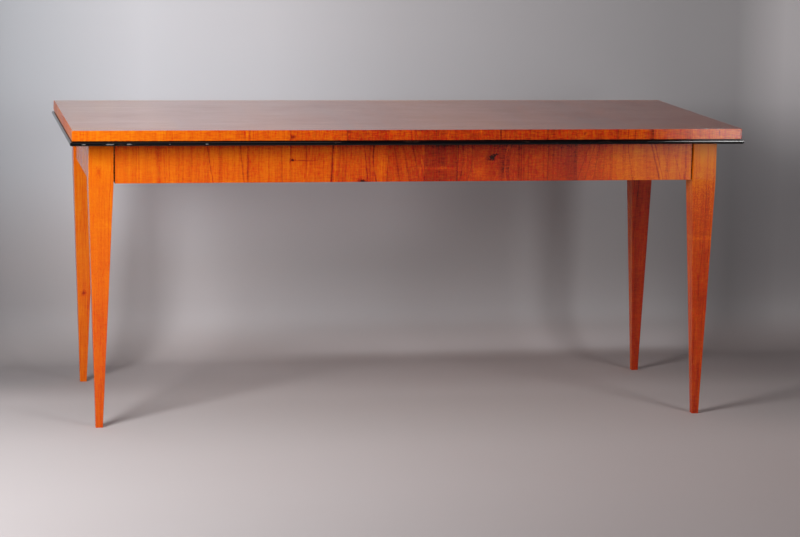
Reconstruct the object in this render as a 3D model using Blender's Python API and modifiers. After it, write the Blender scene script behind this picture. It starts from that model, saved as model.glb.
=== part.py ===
# A long table in veneered cherry: a flat top with an ebonised bead under its edge, four rails and four
# tapered legs, held together by tenons, corner braces, bearers and screwed buttons.
# Metres, +Z up. The length runs along X, the front faces -Y, and the origin is on the floor under the middle.

import math

import bmesh
import bpy
from mathutils import Matrix, Vector

# The whole table
TOP_LENGTH = 1.75
TOP_DEPTH = 0.78
TABLE_HEIGHT = 0.78
TOP_THICKNESS = 0.0265
END_OVERHANG = 0.046
FRONT_OVERHANG = 0.066
VENEER = 0.002
FIT = 0.0003

# The top's edge and the bead under it
EDGE_ARRIS = 0.0008
BEAD_HEIGHT = 0.010
BEAD_PROUD = 0.005
BEAD_SEAT = 0.018
QUIRK_HEIGHT = 0.0025
QUIRK_DEPTH = 0.003

# Legs
LEG_WIDTH = 0.064
FOOT_WIDTH = 0.019
OUTER_TAPER_SHARE = 0.42
LEG_ARRIS = 0.0008

# Rails and their tenons
RAIL_HEIGHT = 0.1165
RAIL_CORE = 0.022
RAIL_SETBACK = 0.006
SHADOW_GAP = 0.0035
FACING_ARRIS = 0.0005
TENON_CHEEK = 0.006
TENON_THICKNESS = 0.009
TENON_LOWER_SHOULDER = 0.004
TENON_HAUNCH = 0.015
MORTISE_WEB = 0.003

# Corner braces
BRACE_THICKNESS = 0.022
BRACE_HEIGHT = 0.064
BRACE_GRIP = 0.012
BRACE_BITE = 0.016
BRACE_SCREW_SHARE = 0.4

# Bearers under the top
BEARER_OFFSET = 0.255
BEARER_WIDTH = 0.045
BEARER_HEIGHT = 0.034
BEARER_ARRIS = 0.002
STUB_LENGTH = 0.012
STUB_WIDTH = 0.025
STUB_HEIGHT = 0.018
BEARER_SCREW_SHARE = 0.5

# Buttons that hold the top down
BUTTON_LENGTH = 0.034
BUTTON_WIDTH = 0.028
BUTTON_HEIGHT = 0.022
TONGUE_LENGTH = 0.010
TONGUE_HEIGHT = 0.009
BUTTON_SCREW_SHARE = 0.55
LONG_RAIL_BUTTON_SHARES = (-0.6, 0.0, 0.6)
SHORT_RAIL_BUTTON_SHARES = (0.0,)

# Wood screws
SHANK_RADIUS = 0.0022
HEAD_RADIUS = 0.0042
HEAD_HEIGHT = 0.0026
SLOT_WIDTH = 0.0009
SLOT_DEPTH = 0.0012
POINT_LENGTH = 0.006
TOP_BITE = 0.014
POCKET_CLEARANCE = 0.0015

# How far a cutter runs past the face that it opens
OVERRUN = 0.004

ROUND_STEPS = 16
NOSE_STEPS = 10
ARRIS_STEPS = 3

# Places worked out from the sizes above
UNDERSIDE = TABLE_HEIGHT - TOP_THICKNESS
FRAME_TOP = UNDERSIDE - FIT
RAIL_BOTTOM = UNDERSIDE - RAIL_HEIGHT
HALF_LENGTH = TOP_LENGTH / 2
HALF_DEPTH = TOP_DEPTH / 2
LEG_X = HALF_LENGTH - END_OVERHANG
LEG_Y = HALF_DEPTH - FRONT_OVERHANG
CORE_FACE = RAIL_SETBACK + VENEER + FIT
RAIL_INSIDE = CORE_FACE + RAIL_CORE
TENON_FACE = CORE_FACE + TENON_CHEEK
TENON_BACK = TENON_FACE + TENON_THICKNESS
TENON_LENGTH = LEG_WIDTH - TENON_BACK - MORTISE_WEB
TENON_BOTTOM = RAIL_BOTTOM + TENON_LOWER_SHOULDER
TENON_TOP = FRAME_TOP - TENON_HAUNCH
BRACE_FACE = RAIL_INSIDE + FIT
BRACE_NEAR = 2 * LEG_WIDTH + math.sqrt(2) * FIT - BRACE_FACE
BRACE_FAR = BRACE_NEAR + math.sqrt(2) * BRACE_THICKNESS
BRACE_SCREW_AT = BRACE_NEAR + BRACE_SCREW_SHARE * (BRACE_FAR - BRACE_NEAR)
BRACE_MIDDLE = (RAIL_BOTTOM + FRAME_TOP) / 2
BRACE_SCREW_LENGTH = BRACE_GRIP + BRACE_BITE
BEARER_END = LEG_Y - RAIL_INSIDE - FIT
BEARER_BOTTOM = FRAME_TOP - BEARER_HEIGHT
BEARER_SCREW_Y = BEARER_SCREW_SHARE * BEARER_END
STUB_MIDDLE = FRAME_TOP - BEARER_HEIGHT / 2
BUTTON_BOTTOM = FRAME_TOP - BUTTON_HEIGHT
BUTTON_FACE = RAIL_INSIDE + FIT
BUTTON_SCREW_AT = BUTTON_FACE + BUTTON_SCREW_SHARE * BUTTON_LENGTH
TOP_SCREW_LENGTH = BUTTON_HEIGHT + TOP_BITE

# The four sides, each a quarter turn round Z from the one before, with the distance from the middle to the
# legs' outer faces and the same distance along the side. On a side's own axes X runs along it and +Y inwards.
SIDES = (
    ("front", LEG_Y, LEG_X, LONG_RAIL_BUTTON_SHARES),
    ("right", LEG_X, LEG_Y, SHORT_RAIL_BUTTON_SHARES),
    ("back", LEG_Y, LEG_X, LONG_RAIL_BUTTON_SHARES),
    ("left", LEG_X, LEG_Y, SHORT_RAIL_BUTTON_SHARES),
)

# The four corners, each turned like the side of the same place in the list above. On a corner's own axes the
# leg's outer arris is at zero and +X and +Y point inwards.
CORNERS = (
    ("front_left", -LEG_X, -LEG_Y),
    ("front_right", LEG_X, -LEG_Y),
    ("back_right", LEG_X, LEG_Y),
    ("back_left", -LEG_X, LEG_Y),
)

# Turns an outline's X and Y into a side's inward and upward axes, and its thickness along the side
ALONG_SIDE = Matrix(((0, 0, 1, 0), (1, 0, 0, 0), (0, 1, 0, 0), (0, 0, 0, 1)))


def clear_scene():
    for item in list(bpy.data.objects):
        bpy.data.objects.remove(item, do_unlink=True)


def new_collection(name):
    collection = bpy.data.collections.new(name)
    bpy.context.scene.collection.children.link(collection)
    return collection


def new_material(name, colour, roughness, metallic=0.0):
    material = bpy.data.materials.new(name)
    material.use_nodes = True
    shader = material.node_tree.nodes["Principled BSDF"]
    shader.inputs["Base Color"].default_value = (*colour, 1.0)
    shader.inputs["Roughness"].default_value = roughness
    shader.inputs["Metallic"].default_value = metallic
    return material


def quarter_turn(turns):
    return Matrix.Rotation(turns * math.pi / 2, 4, "Z")


def side_frame(turns, distance):
    return quarter_turn(turns) @ Matrix.Translation((0, -distance, 0))


def corner_frames():
    frames = []
    for turns, (name, x, y) in enumerate(CORNERS):
        frames.append((name, Matrix.Translation((x, y, 0)) @ quarter_turn(turns)))
    return frames


def new_piece(name, mesh):
    piece = bpy.data.objects.new(name, mesh)
    parts.objects.link(piece)
    return piece


def block(name, low, high):
    low = Vector(low)
    high = Vector(high)
    shape = bmesh.new()
    bmesh.ops.create_cube(shape, size=1.0)
    bmesh.ops.scale(shape, vec=high - low, verts=shape.verts)
    bmesh.ops.translate(shape, vec=(low + high) / 2, verts=shape.verts)
    mesh = bpy.data.meshes.new(name)
    shape.to_mesh(mesh)
    shape.free()
    return new_piece(name, mesh)


def settled_mesh(piece):
    bpy.context.view_layer.update()
    graph = bpy.context.evaluated_depsgraph_get()
    return bpy.data.meshes.new_from_object(piece.evaluated_get(graph))


def prism(name, outline, half_run, turn=Matrix.Identity(4)):
    curve = bpy.data.curves.new(name, "CURVE")
    curve.dimensions = "2D"
    curve.fill_mode = "BOTH"
    curve.extrude = half_run
    spline = curve.splines.new("POLY")
    spline.points.add(len(outline) - 1)
    spline.use_cyclic_u = True
    for point, (across, up) in zip(spline.points, outline):
        point.co = (across, up, 0.0, 1.0)
    drawn = new_piece(name + "_outline", curve)
    mesh = settled_mesh(drawn)
    bpy.data.objects.remove(drawn, do_unlink=True)
    shape = bmesh.new()
    shape.from_mesh(mesh)
    bmesh.ops.remove_doubles(shape, verts=shape.verts, dist=FIT / 10)
    bmesh.ops.transform(shape, matrix=turn, verts=shape.verts)
    bmesh.ops.recalc_face_normals(shape, faces=shape.faces)
    shape.to_mesh(mesh)
    shape.free()
    return new_piece(name, mesh)


def turned(name, profile):
    mesh = bpy.data.meshes.new(name)
    shape = bmesh.new()
    points = [shape.verts.new((radius, 0, height)) for radius, height in profile]
    for first, second in zip(points, points[1:]):
        shape.edges.new((first, second))
    shape.to_mesh(mesh)
    shape.free()
    piece = new_piece(name, mesh)
    screw = piece.modifiers.new("turn", "SCREW")
    screw.steps = ROUND_STEPS
    screw.render_steps = ROUND_STEPS
    screw.use_merge_vertices = True
    screw.merge_threshold = FIT / 10
    return piece


def make_cutter(piece):
    parts.objects.unlink(piece)
    cutters.objects.link(piece)
    piece.hide_render = True
    piece.display_type = "WIRE"
    return piece


def combine(piece, tool, operation="DIFFERENCE"):
    boolean = piece.modifiers.new(operation.lower(), "BOOLEAN")
    boolean.operation = operation
    boolean.solver = "EXACT"
    boolean.object = tool


def ease(piece, width, segments=1):
    bevel = piece.modifiers.new("ease", "BEVEL")
    bevel.width = width
    bevel.segments = segments
    bevel.limit_method = "ANGLE"
    bevel.angle_limit = math.radians(30)


def copies(model, tools, places, material):
    mesh = settled_mesh(model)
    mesh.materials.clear()
    mesh.materials.append(material)
    for item in [model, *tools]:
        bpy.data.objects.remove(item, do_unlink=True)
    for name, frame in places:
        new_piece(name, mesh).matrix_world = frame


def arc(centre, across, up, first_angle, last_angle, steps):
    points = []
    for step in range(steps + 1):
        angle = first_angle + (last_angle - first_angle) * step / steps
        points.append((centre[0] + across * math.cos(angle), centre[1] + up * math.sin(angle)))
    return points


# Each end is cut on the diagonal through the top's corner
def mitre(piece, corner, distance):
    shape = bmesh.new()
    shape.from_mesh(piece.data)
    for end in (-1, 1):
        normal = Vector((end, 1, 0)).normalized()
        point = Vector((end * corner, -distance, 0)) - normal * FIT / 2
        geometry = shape.verts[:] + shape.edges[:] + shape.faces[:]
        bmesh.ops.bisect_plane(shape, geom=geometry, plane_co=point, plane_no=normal, clear_outer=True)
        rim = [edge for edge in shape.edges if edge.is_boundary]
        bmesh.ops.holes_fill(shape, edges=rim)
    bmesh.ops.recalc_face_normals(shape, faces=shape.faces)
    shape.to_mesh(piece.data)
    shape.free()


def make_top(screw_holes):
    inset = VENEER + FIT
    x = HALF_LENGTH - inset
    y = HALF_DEPTH - inset
    surface = block("tabletop_surface_veneer", (-x, -y, TABLE_HEIGHT - VENEER), (x, y, TABLE_HEIGHT))
    surface.data.materials.append(cherry)
    core = block("tabletop_core", (-x, -y, UNDERSIDE + inset), (x, y, TABLE_HEIGHT - inset))
    core.data.materials.append(softwood)
    backing = block("tabletop_backing_veneer", (-x, -y, UNDERSIDE), (x, y, UNDERSIDE + VENEER))
    backing.data.materials.append(cherry)
    for hole in screw_holes:
        combine(core, hole)
        combine(backing, hole)


def edge_band_outline(distance):
    outer = -distance
    inner = outer + VENEER
    low = UNDERSIDE
    high = TABLE_HEIGHT
    radius = EDGE_ARRIS
    lower = arc((outer + radius, low + radius), radius, radius, 1.5 * math.pi, math.pi, ARRIS_STEPS)
    upper = arc((outer + radius, high - radius), radius, radius, math.pi, 0.5 * math.pi, ARRIS_STEPS)
    return [(inner, low), *lower, *upper, (inner, high)]


def bead_outline(distance):
    edge = -distance
    top = UNDERSIDE - FIT
    shelf = top - QUIRK_HEIGHT
    bottom = shelf - BEAD_HEIGHT
    middle = (edge, (shelf + bottom) / 2)
    nose = arc(middle, BEAD_PROUD, BEAD_HEIGHT / 2, 0.5 * math.pi, 1.5 * math.pi, NOSE_STEPS)
    seat = [(edge + BEAD_SEAT, top), (edge + QUIRK_DEPTH, top), (edge + QUIRK_DEPTH, shelf)]
    return [*seat, *nose, (edge + BEAD_SEAT, bottom)]


def make_edges():
    for name, outline, material in (
        ("edge_band", edge_band_outline, cherry),
        ("bead", bead_outline, ebonised),
    ):
        for turns, side in enumerate(SIDES):
            long_side = turns % 2 == 0
            across = HALF_DEPTH if long_side else HALF_LENGTH
            along = HALF_LENGTH if long_side else HALF_DEPTH
            reach = along + BEAD_PROUD + OVERRUN
            piece = prism(name + "_" + side[0], outline(across), reach, ALONG_SIDE)
            mitre(piece, along, across)
            piece.data.materials.append(material)
            piece.matrix_world = quarter_turn(turns)


def make_legs():
    leg = block("leg", (0, 0, RAIL_BOTTOM), (LEG_WIDTH, LEG_WIDTH, FRAME_TOP))
    shape = bmesh.new()
    shape.from_mesh(leg.data)
    base = [face for face in shape.faces if face.normal.z < -0.5]
    grown = bmesh.ops.extrude_face_region(shape, geom=base)
    bmesh.ops.delete(shape, geom=base, context="FACES_ONLY")
    outer_taper = OUTER_TAPER_SHARE * (LEG_WIDTH - FOOT_WIDTH)
    for vertex in grown["geom"]:
        if isinstance(vertex, bmesh.types.BMVert):
            vertex.co.x = outer_taper + FOOT_WIDTH * vertex.co.x / LEG_WIDTH
            vertex.co.y = outer_taper + FOOT_WIDTH * vertex.co.y / LEG_WIDTH
            vertex.co.z = 0
    shape.to_mesh(leg.data)
    shape.free()
    ease(leg, LEG_ARRIS, 2)
    end = LEG_WIDTH - TENON_LENGTH - FIT
    mouth = LEG_WIDTH + OVERRUN
    face = TENON_FACE - FIT
    back = TENON_BACK + FIT
    low = TENON_BOTTOM - FIT
    high = TENON_TOP + FIT
    tools = [
        make_cutter(block("mortise_along_x", (end, face, low), (mouth, back, high))),
        make_cutter(block("mortise_along_y", (face, end, low), (back, mouth, high))),
    ]
    for tool in tools:
        combine(leg, tool)
    places = [("leg_" + name, frame) for name, frame in corner_frames()]
    copies(leg, tools, places, cherry)


# A hole for a screw whose head seats at zero and whose shank points down
def screw_hole(name, length, pocket_depth):
    shank = SHANK_RADIUS + FIT
    pocket = HEAD_RADIUS + POCKET_CLEARANCE
    end = -length - FIT
    profile = [(0, pocket_depth), (pocket, pocket_depth), (pocket, 0), (shank, 0), (shank, end), (0, end)]
    return make_cutter(turned(name, profile))


def screw_frame(point, direction):
    turn = (-Vector(direction)).to_track_quat("Z", "Y").to_matrix().to_4x4()
    return Matrix.Translation(point) @ turn


def make_screws(length, places):
    neck = -length + POINT_LENGTH
    brim = HEAD_HEIGHT / 2
    crown = arc((0, brim), HEAD_RADIUS, HEAD_HEIGHT - brim, 0.5 * math.pi, 0, ARRIS_STEPS)
    profile = [*crown, (HEAD_RADIUS, FIT), (SHANK_RADIUS, FIT), (SHANK_RADIUS, neck), (0, -length)]
    screw = turned("screw", profile)
    half_slot = SLOT_WIDTH / 2
    floor = HEAD_HEIGHT - SLOT_DEPTH
    low = (-HEAD_RADIUS - OVERRUN, -half_slot, floor)
    high = (HEAD_RADIUS + OVERRUN, half_slot, HEAD_HEIGHT + OVERRUN)
    slot = make_cutter(block("slot", low, high))
    combine(screw, slot)
    copies(screw, [slot], places, steel)


def rail_screw_places(along):
    middle = BRACE_MIDDLE
    return [(end * (along - BRACE_SCREW_AT), BRACE_FACE + BRACE_GRIP, middle) for end in (-1, 1)]


def make_rail(turns, name, distance, along, button_shares):
    shoulder = along - LEG_WIDTH - SHADOW_GAP
    tip = along - LEG_WIDTH + TENON_LENGTH
    core = block("rail", (-shoulder, CORE_FACE, RAIL_BOTTOM), (shoulder, RAIL_INSIDE, FRAME_TOP))
    tenons = block("tenons", (-tip, TENON_FACE, TENON_BOTTOM), (tip, TENON_BACK, TENON_TOP))
    tools = [make_cutter(tenons)]
    combine(core, tenons, "UNION")
    half_slot = BUTTON_WIDTH / 2 + FIT
    for share in button_shares:
        x = share * shoulder
        low = (x - half_slot, RAIL_INSIDE - TONGUE_LENGTH - FIT, BUTTON_BOTTOM - FIT)
        high = (x + half_slot, RAIL_INSIDE + OVERRUN, BUTTON_BOTTOM + TONGUE_HEIGHT + FIT)
        tools.append(make_cutter(block("button_slot", low, high)))
    if turns % 2 == 0:
        half_width = STUB_WIDTH / 2 + FIT
        half_height = STUB_HEIGHT / 2 + FIT
        for x in (-BEARER_OFFSET, BEARER_OFFSET):
            low = (x - half_width, RAIL_INSIDE - STUB_LENGTH - FIT, STUB_MIDDLE - half_height)
            high = (x + half_width, RAIL_INSIDE + OVERRUN, STUB_MIDDLE + half_height)
            tools.append(make_cutter(block("bearer_socket", low, high)))
    for point in rail_screw_places(along):
        hole = screw_hole("brace_screw_hole", BRACE_SCREW_LENGTH, OVERRUN)
        hole.matrix_world = screw_frame(point, (0, -1, 0))
        tools.append(hole)
    for tool in tools[1:]:
        combine(core, tool)
    frame = side_frame(turns, distance)
    copies(core, tools, [("rail_core_" + name, frame)], softwood)
    low = (-shoulder, RAIL_SETBACK, RAIL_BOTTOM)
    high = (shoulder, RAIL_SETBACK + VENEER, FRAME_TOP)
    facing = block("rail_facing_" + name, low, high)
    facing.data.materials.append(cherry)
    facing.matrix_world = frame
    ease(facing, FACING_ARRIS)


def make_braces():
    near = (BRACE_NEAR, BRACE_FACE)
    far = (BRACE_FAR, BRACE_FACE)
    outline = [near, far, (BRACE_FACE, BRACE_FAR), (BRACE_FACE, BRACE_NEAR)]
    brace = prism("brace", outline, BRACE_HEIGHT / 2, Matrix.Translation((0, 0, BRACE_MIDDLE)))
    seat = BRACE_FACE + BRACE_GRIP
    screws = (
        ("a", (BRACE_SCREW_AT, seat, BRACE_MIDDLE), (0, -1, 0)),
        ("b", (seat, BRACE_SCREW_AT, BRACE_MIDDLE), (-1, 0, 0)),
    )
    tools = []
    for letter, point, direction in screws:
        hole = screw_hole("hole_" + letter, BRACE_SCREW_LENGTH, math.sqrt(2) * BRACE_THICKNESS)
        hole.matrix_world = screw_frame(point, direction)
        combine(brace, hole)
        tools.append(hole)
    frames = corner_frames()
    copies(brace, tools, [("corner_brace_" + name, frame) for name, frame in frames], softwood)
    places = []
    for name, frame in frames:
        for letter, point, direction in screws:
            places.append(("brace_screw_" + name + "_" + letter, frame @ screw_frame(point, direction)))
    make_screws(BRACE_SCREW_LENGTH, places)


def make_bearers():
    half = BEARER_WIDTH / 2
    bearer = block("bearer", (-half, -BEARER_END, BEARER_BOTTOM), (half, BEARER_END, FRAME_TOP))
    ease(bearer, BEARER_ARRIS)
    reach = BEARER_END + FIT + STUB_LENGTH
    low = (-STUB_WIDTH / 2, -reach, STUB_MIDDLE - STUB_HEIGHT / 2)
    high = (STUB_WIDTH / 2, reach, STUB_MIDDLE + STUB_HEIGHT / 2)
    stubs = make_cutter(block("stubs", low, high))
    combine(bearer, stubs, "UNION")
    tools = [stubs]
    frames = []
    for y in (-BEARER_SCREW_Y, BEARER_SCREW_Y):
        frame = screw_frame((0, y, BUTTON_BOTTOM), (0, 0, 1))
        hole = screw_hole("bearer_screw_hole", TOP_SCREW_LENGTH, BEARER_HEIGHT)
        hole.matrix_world = frame
        combine(bearer, hole)
        tools.append(hole)
        frames.append(frame)
    sides = (("left", -BEARER_OFFSET), ("right", BEARER_OFFSET))
    places = [("bearer_" + name, Matrix.Translation((x, 0, 0))) for name, x in sides]
    copies(bearer, tools, places, softwood)
    screws = []
    for name, x in sides:
        for end, frame in zip(("front", "back"), frames):
            screws.append(("bearer_screw_" + name + "_" + end, Matrix.Translation((x, 0, 0)) @ frame))
    return screws


def make_buttons():
    low = BUTTON_BOTTOM
    lip = low + TONGUE_HEIGHT
    tongue = RAIL_INSIDE - TONGUE_LENGTH
    back = BUTTON_FACE + BUTTON_LENGTH
    body = [(back, low), (back, FRAME_TOP), (BUTTON_FACE, FRAME_TOP), (BUTTON_FACE, lip)]
    button = prism("button", [*body, (tongue, lip), (tongue, low)], BUTTON_WIDTH / 2, ALONG_SIDE)
    screw = screw_frame((0, BUTTON_SCREW_AT, low), (0, 0, 1))
    hole = screw_hole("button_screw_hole", TOP_SCREW_LENGTH, OVERRUN)
    hole.matrix_world = screw
    combine(button, hole)
    buttons = []
    screws = []
    for turns, (name, distance, along, shares) in enumerate(SIDES):
        shoulder = along - LEG_WIDTH - SHADOW_GAP
        for number, share in enumerate(shares, 1):
            frame = side_frame(turns, distance) @ Matrix.Translation((share * shoulder, 0, 0))
            buttons.append((f"button_{name}_{number}", frame))
            screws.append((f"button_screw_{name}_{number}", frame @ screw))
    copies(button, [hole], buttons, beech)
    return screws


clear_scene()
parts = new_collection("cherry_table")
cutters = new_collection("cutters")
cherry = new_material("polished_cherry", (0.60, 0.13, 0.022), 0.18)
ebonised = new_material("ebonised_wood", (0.006, 0.006, 0.007), 0.15)
softwood = new_material("plain_softwood", (0.52, 0.33, 0.17), 0.6)
beech = new_material("plain_beech", (0.47, 0.27, 0.14), 0.55)
steel = new_material("screw_steel", (0.45, 0.44, 0.42), 0.35, 1.0)

make_edges()
make_legs()
for side_turns, (side_name, side_distance, side_along, side_shares) in enumerate(SIDES):
    make_rail(side_turns, side_name, side_distance, side_along, side_shares)
make_braces()
top_screws = make_bearers() + make_buttons()
make_screws(TOP_SCREW_LENGTH, top_screws)
top_holes = []
for screw_name, screw_place in top_screws:
    top_hole = screw_hole(screw_name.replace("screw", "hole"), TOP_SCREW_LENGTH, OVERRUN)
    top_hole.matrix_world = screw_place
    top_holes.append(top_hole)
make_top(top_holes)
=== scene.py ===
import math

import bmesh
import bpy
from mathutils import Matrix, Vector


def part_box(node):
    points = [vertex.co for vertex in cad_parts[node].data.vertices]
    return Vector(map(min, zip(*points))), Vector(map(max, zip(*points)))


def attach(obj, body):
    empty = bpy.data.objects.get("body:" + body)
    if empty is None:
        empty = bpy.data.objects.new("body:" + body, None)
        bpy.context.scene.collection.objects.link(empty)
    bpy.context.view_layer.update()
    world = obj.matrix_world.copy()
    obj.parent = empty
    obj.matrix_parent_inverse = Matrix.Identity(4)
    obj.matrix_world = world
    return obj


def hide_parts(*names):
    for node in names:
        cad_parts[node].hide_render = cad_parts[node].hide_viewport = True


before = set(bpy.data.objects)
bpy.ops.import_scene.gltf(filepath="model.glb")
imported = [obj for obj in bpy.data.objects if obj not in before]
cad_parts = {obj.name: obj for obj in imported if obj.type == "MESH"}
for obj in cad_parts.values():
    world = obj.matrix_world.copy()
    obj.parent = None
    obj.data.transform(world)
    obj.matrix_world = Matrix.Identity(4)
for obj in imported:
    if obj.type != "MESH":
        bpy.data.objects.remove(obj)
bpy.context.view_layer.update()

# Looks for the long cherry table: its veneers, black bead and legs are modelled again around the packed
# solids, and the pieces inside keep their solids and get a finish. Metres, the front faces -Y.

scene = bpy.context.scene
sides = {"front": 0, "right": 1, "back": 2, "left": 3}  # quarter turns round Z
corners = {"front_left": 0, "front_right": 1, "back_right": 2, "back_left": 3}

# Faces that marks lie on
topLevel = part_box("tabletop_surface_veneer")[1].z
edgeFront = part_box("edge_band_front")[0].y
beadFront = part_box("bead_front")[0].y
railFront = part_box("rail_facing_front")[0].y


# Modelling by hand: start a box, pick by place, cut, ease and finish

def leaveEditing():
    bpy.ops.object.mode_set(mode="OBJECT")


def applyPlace():
    bpy.ops.object.transform_apply(location=True, rotation=True, scale=True)


def startBox(name, low, high):
    bpy.ops.object.select_all(action="DESELECT")
    size = Vector(high) - Vector(low)
    bpy.ops.mesh.primitive_cube_add(size=1, location=(Vector(low) + Vector(high)) / 2, scale=size)
    piece = bpy.context.active_object
    piece.name = name
    piece.data.name = name
    applyPlace()
    bpy.ops.object.mode_set(mode="EDIT")
    return piece


def pick(piece, kind, test):
    bpy.ops.mesh.select_mode(type={"faces": "FACE", "edges": "EDGE", "verts": "VERT"}[kind])
    bpy.ops.mesh.select_all(action="DESELECT")
    shape = bmesh.from_edit_mesh(piece.data)
    for item in getattr(shape, kind):
        if test(item):
            item.select_set(True)
    bmesh.update_edit_mesh(piece.data)


def pickEdges(piece, test):  # by the middle and the direction of each edge
    def passes(edge):
        first, second = [vert.co for vert in edge.verts]
        return test((first + second) / 2, (second - first).normalized())
    pick(piece, "edges", passes)


straight = 0.9  # a unit vector with this much along an axis follows it


def runs(way, axis):
    return abs(way[axis]) > straight


def facesTo(face, axis, sign):
    return sign * face.normal[axis] > straight


def cut(point, normal, clear=False):
    bpy.ops.mesh.select_all(action="SELECT")
    bpy.ops.mesh.bisect(plane_co=point, plane_no=normal, clear_outer=clear, use_fill=clear)


def ease(width, steps):
    bpy.ops.mesh.bevel(offset=width, segments=steps, affect="EDGES")


def pullUp(height):
    bpy.ops.mesh.extrude_region_move(TRANSFORM_OT_translate={"value": (0, 0, height)})


def mitre(low, high):  # both ends, through the outer corners of the box
    for end in (-1, 1):
        cut((end * high.x, low.y, 0), (end, 1, 0), clear=True)


def roundCorner(low, high, radius, facets):  # the outer upright corners, half on this piece of the mitre
    for end in (-1, 1):
        centre = Vector((end * (high.x - radius), low.y + radius, 0))
        for facet in range(1, facets + 1):
            angle = math.radians(45 * facet / facets)
            normal = Vector((end * math.sin(angle), -math.cos(angle), 0))
            cut(centre + radius * normal, normal, clear=True)


def near(first, second, reach=0.00005):
    return abs(first - second) < reach


def sideBox(node, side):  # a node's box on its side's own axes: X along it, -Y outwards
    turn = Matrix.Rotation(-sides[side] * math.pi / 2, 3, "Z")
    first, second = [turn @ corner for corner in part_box(node)]
    low = Vector((min(first.x, second.x), min(first.y, second.y), first.z))
    high = Vector((max(first.x, second.x), max(first.y, second.y), second.z))
    return low, high


def applyAll(piece):
    for modifier in list(piece.modifiers):
        bpy.ops.object.modifier_apply(modifier=modifier.name)


def finishPiece(piece, turns, node, smoothAngle):
    leaveEditing()
    applyAll(piece)
    piece.rotation_euler.z = turns * math.pi / 2
    applyPlace()
    bpy.ops.object.shade_smooth_by_angle(angle=math.radians(smoothAngle))
    flatFaces = piece.modifiers.new("flatFaces", "WEIGHTED_NORMAL")
    flatFaces.keep_sharp = True
    bpy.ops.object.modifier_apply(modifier=flatFaces.name)
    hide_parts(node)
    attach(piece, "root")


# Leaves of veneer: each is (where it starts, tone, slant, shift), the tone from golden 0 to deep red 1

veneer = {
    "seamStain": 0.30,  # how much darker the glue line between two leaves is
    "flat": 0.97,       # a face whose normal is less than this along every axis is on an arris, rubbed paler
    "behind": 0.9,      # tone of the leaves at the back, against the front's
}


def cutLeaves(leaves, joint, lean, grain, middle):
    for start, tone, slant, shift in leaves[1:]:
        for half in (-joint / 2, joint / 2):
            place = (start + half, middle.y, middle.z)
            normal = (1, -lean * slant, 0) if grain == 1 else (1, 0, -lean * slant)
            cut(place, normal)


def markLeaves(piece, leaves, joint, lean, grain, middle):
    leaveEditing()
    piece.data.attributes.new("leaf", "FLOAT_VECTOR", "FACE")
    piece.data.attributes.new("rub", "FLOAT", "FACE")
    leaf = piece.data.attributes["leaf"]
    rub = piece.data.attributes["rub"]
    for face in piece.data.polygons:
        centre = face.center
        chosen = leaves[0]
        onJoint = False
        for start, tone, slant, shift in leaves[1:]:
            here = start + lean * slant * (centre[grain] - middle[grain])
            if centre.x > here:
                chosen = (start, tone, slant, shift)
            onJoint = onJoint or near(centre.x, here, joint / 2)
        tone, slant, shift = chosen[1:]
        leaf.data[face.index].vector = (tone + veneer["seamStain"] * onJoint, slant, shift)
        rub.data[face.index].value = float(max(abs(value) for value in face.normal) < veneer["flat"])


def layLeaves(piece, leaves, look, grain, middle):
    cutLeaves(leaves, look["joint"], look["lean"], grain, middle)
    markLeaves(piece, leaves, look["joint"], look["lean"], grain, middle)


def leavesBehind(leaves, along, far):  # like the front's leaves, moved along and cut from other wood
    paler = veneer["behind"]
    return tuple((start + along, paler * tone, -slant, shift + far) for start, tone, slant, shift in leaves)


# Shader helpers

def feed(socket, value):
    if isinstance(value, bpy.types.NodeSocket):
        socket.id_data.links.new(value, socket)
    else:
        socket.default_value = value


def treeOf(values):  # the tree of the first socket among the values
    return next(value.id_data for value in values if isinstance(value, bpy.types.NodeSocket))


def newNode(kind, *values, **settings):  # the values go to its inputs, in their order
    node = treeOf(values).nodes.new("ShaderNode" + kind)
    for name, setting in settings.items():
        setattr(node, name, setting)
    for socket, value in zip(node.inputs, values):
        feed(socket, value)
    return node


def maths(operation, *values):
    return newNode("Math", *values, operation=operation).outputs[0]


def chained(operation, result, *others):  # the operation on all the values, one after another
    for other in others:
        result = maths(operation, result, other)
    return result


def plus(*values):
    return chained("ADD", *values)


def minus(*values):
    return chained("SUBTRACT", *values)


def times(*values):
    return chained("MULTIPLY", *values)


def vectorMaths(operation, *values):
    node = newNode("VectorMath", *values, operation=operation)
    return node.outputs["Value" if operation == "DOT_PRODUCT" else "Vector"]


def combine(x, y, z):
    return newNode("CombineXYZ", x, y, z).outputs[0]


def separate(vector):
    return newNode("SeparateXYZ", vector).outputs


def objectPlace(tree):
    return tree.nodes.new("ShaderNodeTexCoord").outputs["Object"]


def faceValue(tree, name):
    node = tree.nodes.new("ShaderNodeAttribute")
    node.attribute_name = name
    return node.outputs


def noise(vector, stretch, detail=2.0, roughness=0.5):  # stretch is in cycles per metre on each axis
    node = newNode("TexNoise", vectorMaths("MULTIPLY", vector, stretch))
    for name, value in (("Scale", 1.0), ("Detail", detail), ("Roughness", roughness)):
        feed(node.inputs[name], value)
    return node.outputs["Fac"]


def spread(value, low, high, start=0.0, end=1.0, smooth=True):
    kind = "SMOOTHSTEP" if smooth else "LINEAR"
    return newNode("MapRange", value, low, high, start, end, interpolation_type=kind).outputs["Result"]


def ramp(value, stops):
    node = newNode("ValToRGB", value)
    band = node.color_ramp
    while len(band.elements) < len(stops):
        band.elements.new(0.5)
    for element, (place, colour) in zip(band.elements, stops):
        element.position = place
        element.color = (*colour, 1.0)
    return node.outputs["Color"]


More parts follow.
